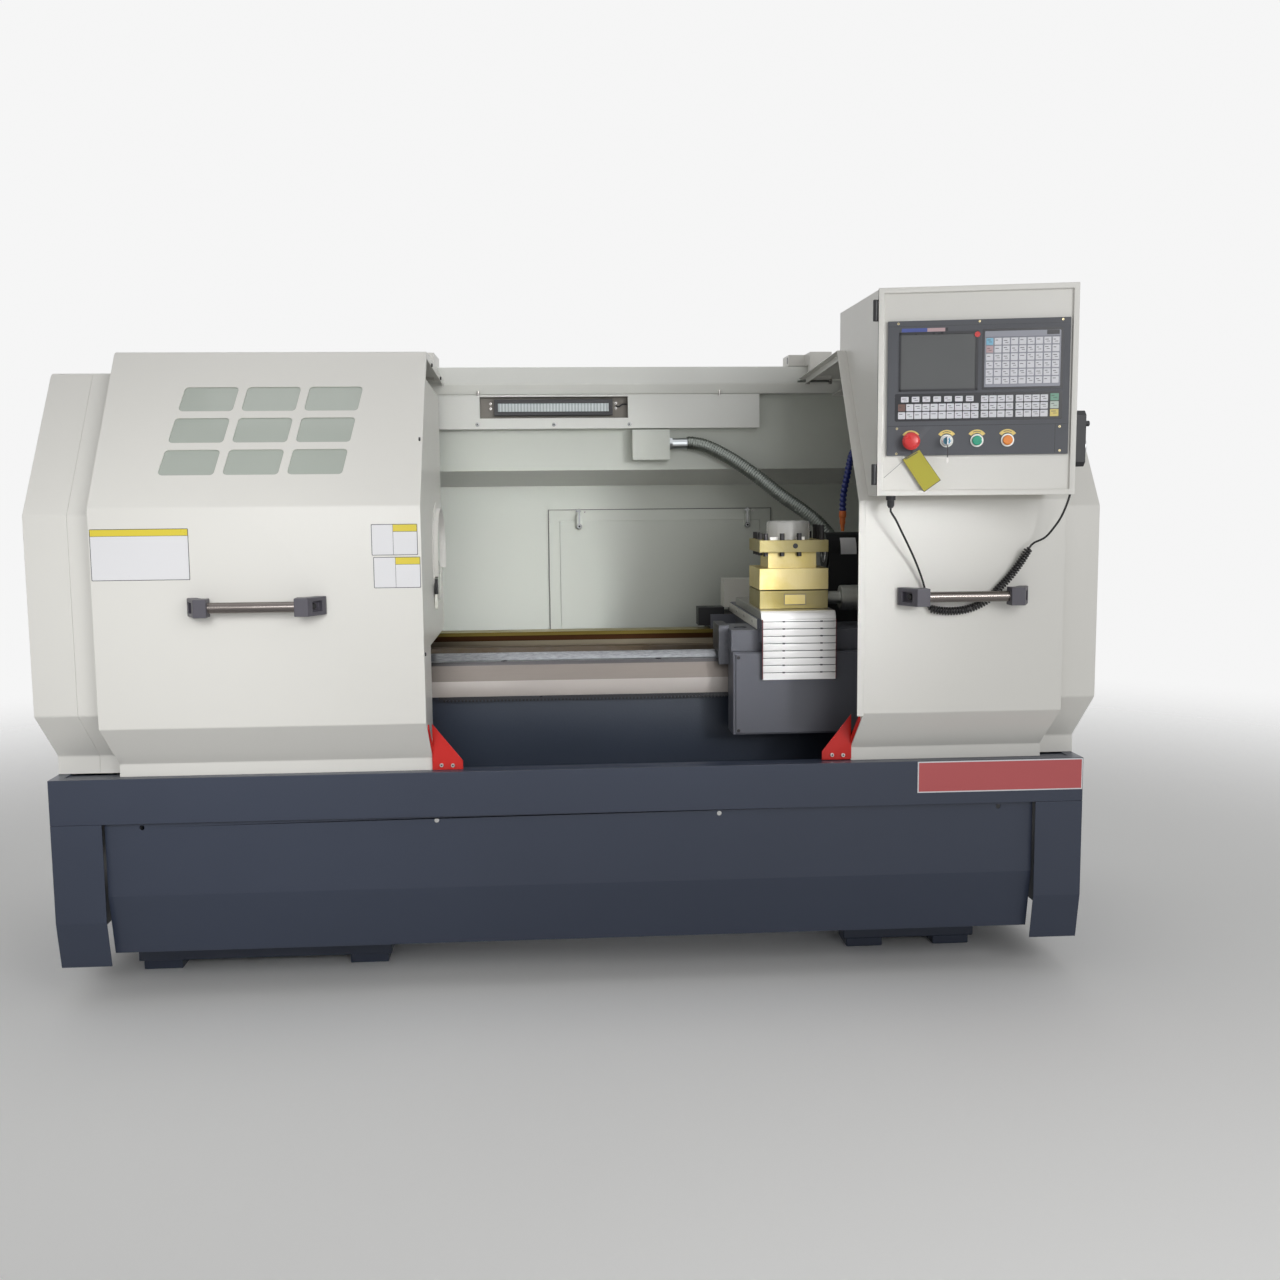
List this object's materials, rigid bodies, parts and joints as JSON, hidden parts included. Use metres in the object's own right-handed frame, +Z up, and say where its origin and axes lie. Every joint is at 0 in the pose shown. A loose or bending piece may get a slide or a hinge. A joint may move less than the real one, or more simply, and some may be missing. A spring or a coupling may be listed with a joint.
{
  "type": "cnc turning lathe",
  "caption": "Flat-bed turning lathe with sliding guard doors, a chuck, a turret with four tool sides, a tailstock and a hinged control console.",
  "frame": {"origin": "on the floor under the middle of the machine's outline", "axes": "+Z up, +X along the bed towards the tailstock, +Y towards the back"},
  "size_m": [2.54, 1.4956, 1.697],
  "materials": {
    "guard_white": "satin paint",
    "guard_inside": "satin paint",
    "base_slate": "satin paint",
    "apron_grey": "satin paint",
    "tailstock_black": "satin paint",
    "ground_iron": "ground and oiled",
    "bright_steel": "bright",
    "oiled_turret": "ground, coated in preserving oil",
    "slat_alloy": "bright",
    "panel_charcoal": "matt",
    "screen_grey": "gloss",
    "handle_black": "matt",
    "cord_rubber": "matt",
    "bracket_red": "gloss paint",
    "stop_red": "gloss",
    "button_green": "gloss",
    "button_orange": "gloss",
    "hose_blue": "matt",
    "window_glass": "clear"
  },
  "bodies": {
    "frame": {"access_panel": "guard_inside", "bed": "ground_iron", "chip_tray": "base_slate", "chuck_guard": "guard_white", "conduit": "bright_steel", "electrical_cabinet": "guard_white", "front_cover": "base_slate", "headstock": "apron_grey", "headstock_cover": "guard_white", "junction_box": "guard_inside", "lamp_housing": "handle_black", "lamp_lens": "window_glass", "left_end_cover": "base_slate", "left_end_guard": "guard_white", "left_pedestal": "base_slate", "rack": "bright_steel", "rear_guard": "guard_inside", "right_end_cover": "base_slate", "right_end_guard": "guard_white", "right_pedestal": "base_slate", "top_beam": "guard_white"},
    "left_door": {"left_door": "guard_white", "left_window": "window_glass", "left_handle": "handle_black", "left_bracket": "bracket_red"},
    "right_door": {"right_door": "guard_white", "right_handle": "handle_black", "right_bracket": "bracket_red", "control_box": "guard_white", "cord_gland": "handle_black", "cord_lead": "cord_rubber", "cord_coil": "cord_rubber", "cord_tail": "cord_rubber", "pulse_generator": "panel_charcoal"},
    "control_door": {"control_door": "guard_white", "control_panel": "panel_charcoal", "screen": "screen_grey"},
    "stop_button": {"stop_button": "stop_red"},
    "key_switch": {"key_switch": "bright_steel"},
    "green_button": {"green_button": "button_green"},
    "orange_button": {"orange_button": "button_orange"},
    "pulse_dial": {"pulse_dial": "bright_steel"},
    "cabinet_door": {"cabinet_door": "guard_white"},
    "spindle": {"spindle": "bright_steel", "chuck_body": "bright_steel"},
    "jaw_1": {"chuck_jaw_1": "bright_steel"},
    "jaw_2": {"chuck_jaw_2": "bright_steel"},
    "jaw_3": {"chuck_jaw_3": "bright_steel"},
    "carriage": {"saddle": "apron_grey", "apron": "apron_grey", "slat_cover": "slat_alloy", "coolant_hose": "hose_blue"},
    "cross_slide": {"cross_slide": "ground_iron", "turret_base": "oiled_turret"},
    "turret": {"turret_head": "oiled_turret", "turret_cap": "slat_alloy"},
    "tailstock": {"tailstock": "tailstock_black"},
    "quill": {"tailstock_quill": "bright_steel"},
    "handwheel": {"tailstock_handwheel": "bright_steel"}
  },
  "joints": [
    {"name": "left_door_slide", "type": "slide", "parent": "frame", "child": "left_door", "axis": [1, 0, 0], "range_m": [0, 0.515]},
    {"name": "right_door_slide", "type": "slide", "parent": "frame", "child": "right_door", "axis": [-1, 0, 0], "range_m": [0, 0.4475]},
    {"name": "control_door_hinge", "type": "hinge", "parent": "right_door", "child": "control_door", "pos_m": [0.68559, -0.64842, 1.47], "axis": [0, 0, -1], "range_deg": [0, 110]},
    {"name": "stop_button_push", "type": "slide", "parent": "control_door", "child": "stop_button", "axis": [0.2079, 0.9781, 0], "range_m": [0, 0.004]},
    {"name": "key_switch_turn", "type": "hinge", "parent": "control_door", "child": "key_switch", "pos_m": [0.84152, -0.68872, 1.353], "axis": [0.2079, 0.9781, 0], "range_deg": [0, 90]},
    {"name": "green_button_push", "type": "slide", "parent": "control_door", "child": "green_button", "axis": [0.2079, 0.9781, 0], "range_m": [0, 0.0025], "stiffness_N_per_m": 300, "springref_m": -0.002},
    {"name": "orange_button_push", "type": "slide", "parent": "control_door", "child": "orange_button", "axis": [0.2079, 0.9781, 0], "range_m": [0, 0.0025], "stiffness_N_per_m": 300, "springref_m": -0.002},
    {"name": "pulse_dial_turn", "type": "hinge", "parent": "right_door", "child": "pulse_dial", "pos_m": [1.1515, -0.65301, 1.338], "axis": [1, 0, 0], "continuous": true},
    {"name": "cabinet_door_hinge", "type": "hinge", "parent": "frame", "child": "cabinet_door", "pos_m": [-1.1, 0.74179, 1.02], "axis": [0, 0, 1], "range_deg": [0, 110]},
    {"name": "spindle_turn", "type": "hinge", "parent": "frame", "child": "spindle", "pos_m": [-0.4, 0.04449, 1.07], "axis": [1, 0, 0], "continuous": true},
    {"name": "jaw_1_slide", "type": "slide", "parent": "spindle", "child": "jaw_1", "axis": [0, 0, 1], "range_m": [-0.012, 0.008]},
    {"name": "jaw_2_slide", "type": "slide", "parent": "spindle", "child": "jaw_2", "axis": [0, -0.866, -0.5], "range_m": [-0.012, 0.008]},
    {"name": "jaw_3_slide", "type": "slide", "parent": "spindle", "child": "jaw_3", "axis": [0, 0.866, -0.5], "range_m": [-0.012, 0.008]},
    {"name": "carriage_slide", "type": "slide", "parent": "frame", "child": "carriage", "axis": [1, 0, 0], "range_m": [-0.62, 0.02], "deforming": ["conduit"]},
    {"name": "cross_slide_move", "type": "slide", "parent": "carriage", "child": "cross_slide", "axis": [0, 1, 0], "range_m": [-0.1, 0.095]},
    {"name": "turret_index", "type": "hinge", "parent": "cross_slide", "child": "turret", "pos_m": [0.5724, -0.16551, 1.02], "axis": [0, 0, 1], "continuous": true},
    {"name": "tailstock_slide", "type": "slide", "parent": "frame", "child": "tailstock", "axis": [1, 0, 0], "range_m": [0, 0.12]},
    {"name": "handwheel_turn", "type": "hinge", "parent": "tailstock", "child": "handwheel", "pos_m": [1, 0.04449, 1.07], "axis": [-1, 0, 0], "range_deg": [0, 8640]},
    {"name": "quill_slide", "type": "slide", "parent": "tailstock", "child": "quill", "axis": [-1, 0, 0], "range_m": [0, 0.12]}
  ],
  "couplings": [
    {"joint": "jaw_2_slide", "follows": "jaw_1_slide", "ratio": 1},
    {"joint": "jaw_3_slide", "follows": "jaw_1_slide", "ratio": 1},
    {"joint": "quill_slide", "follows": "handwheel_turn", "m_per_rad": 0.0007957}
  ]
}
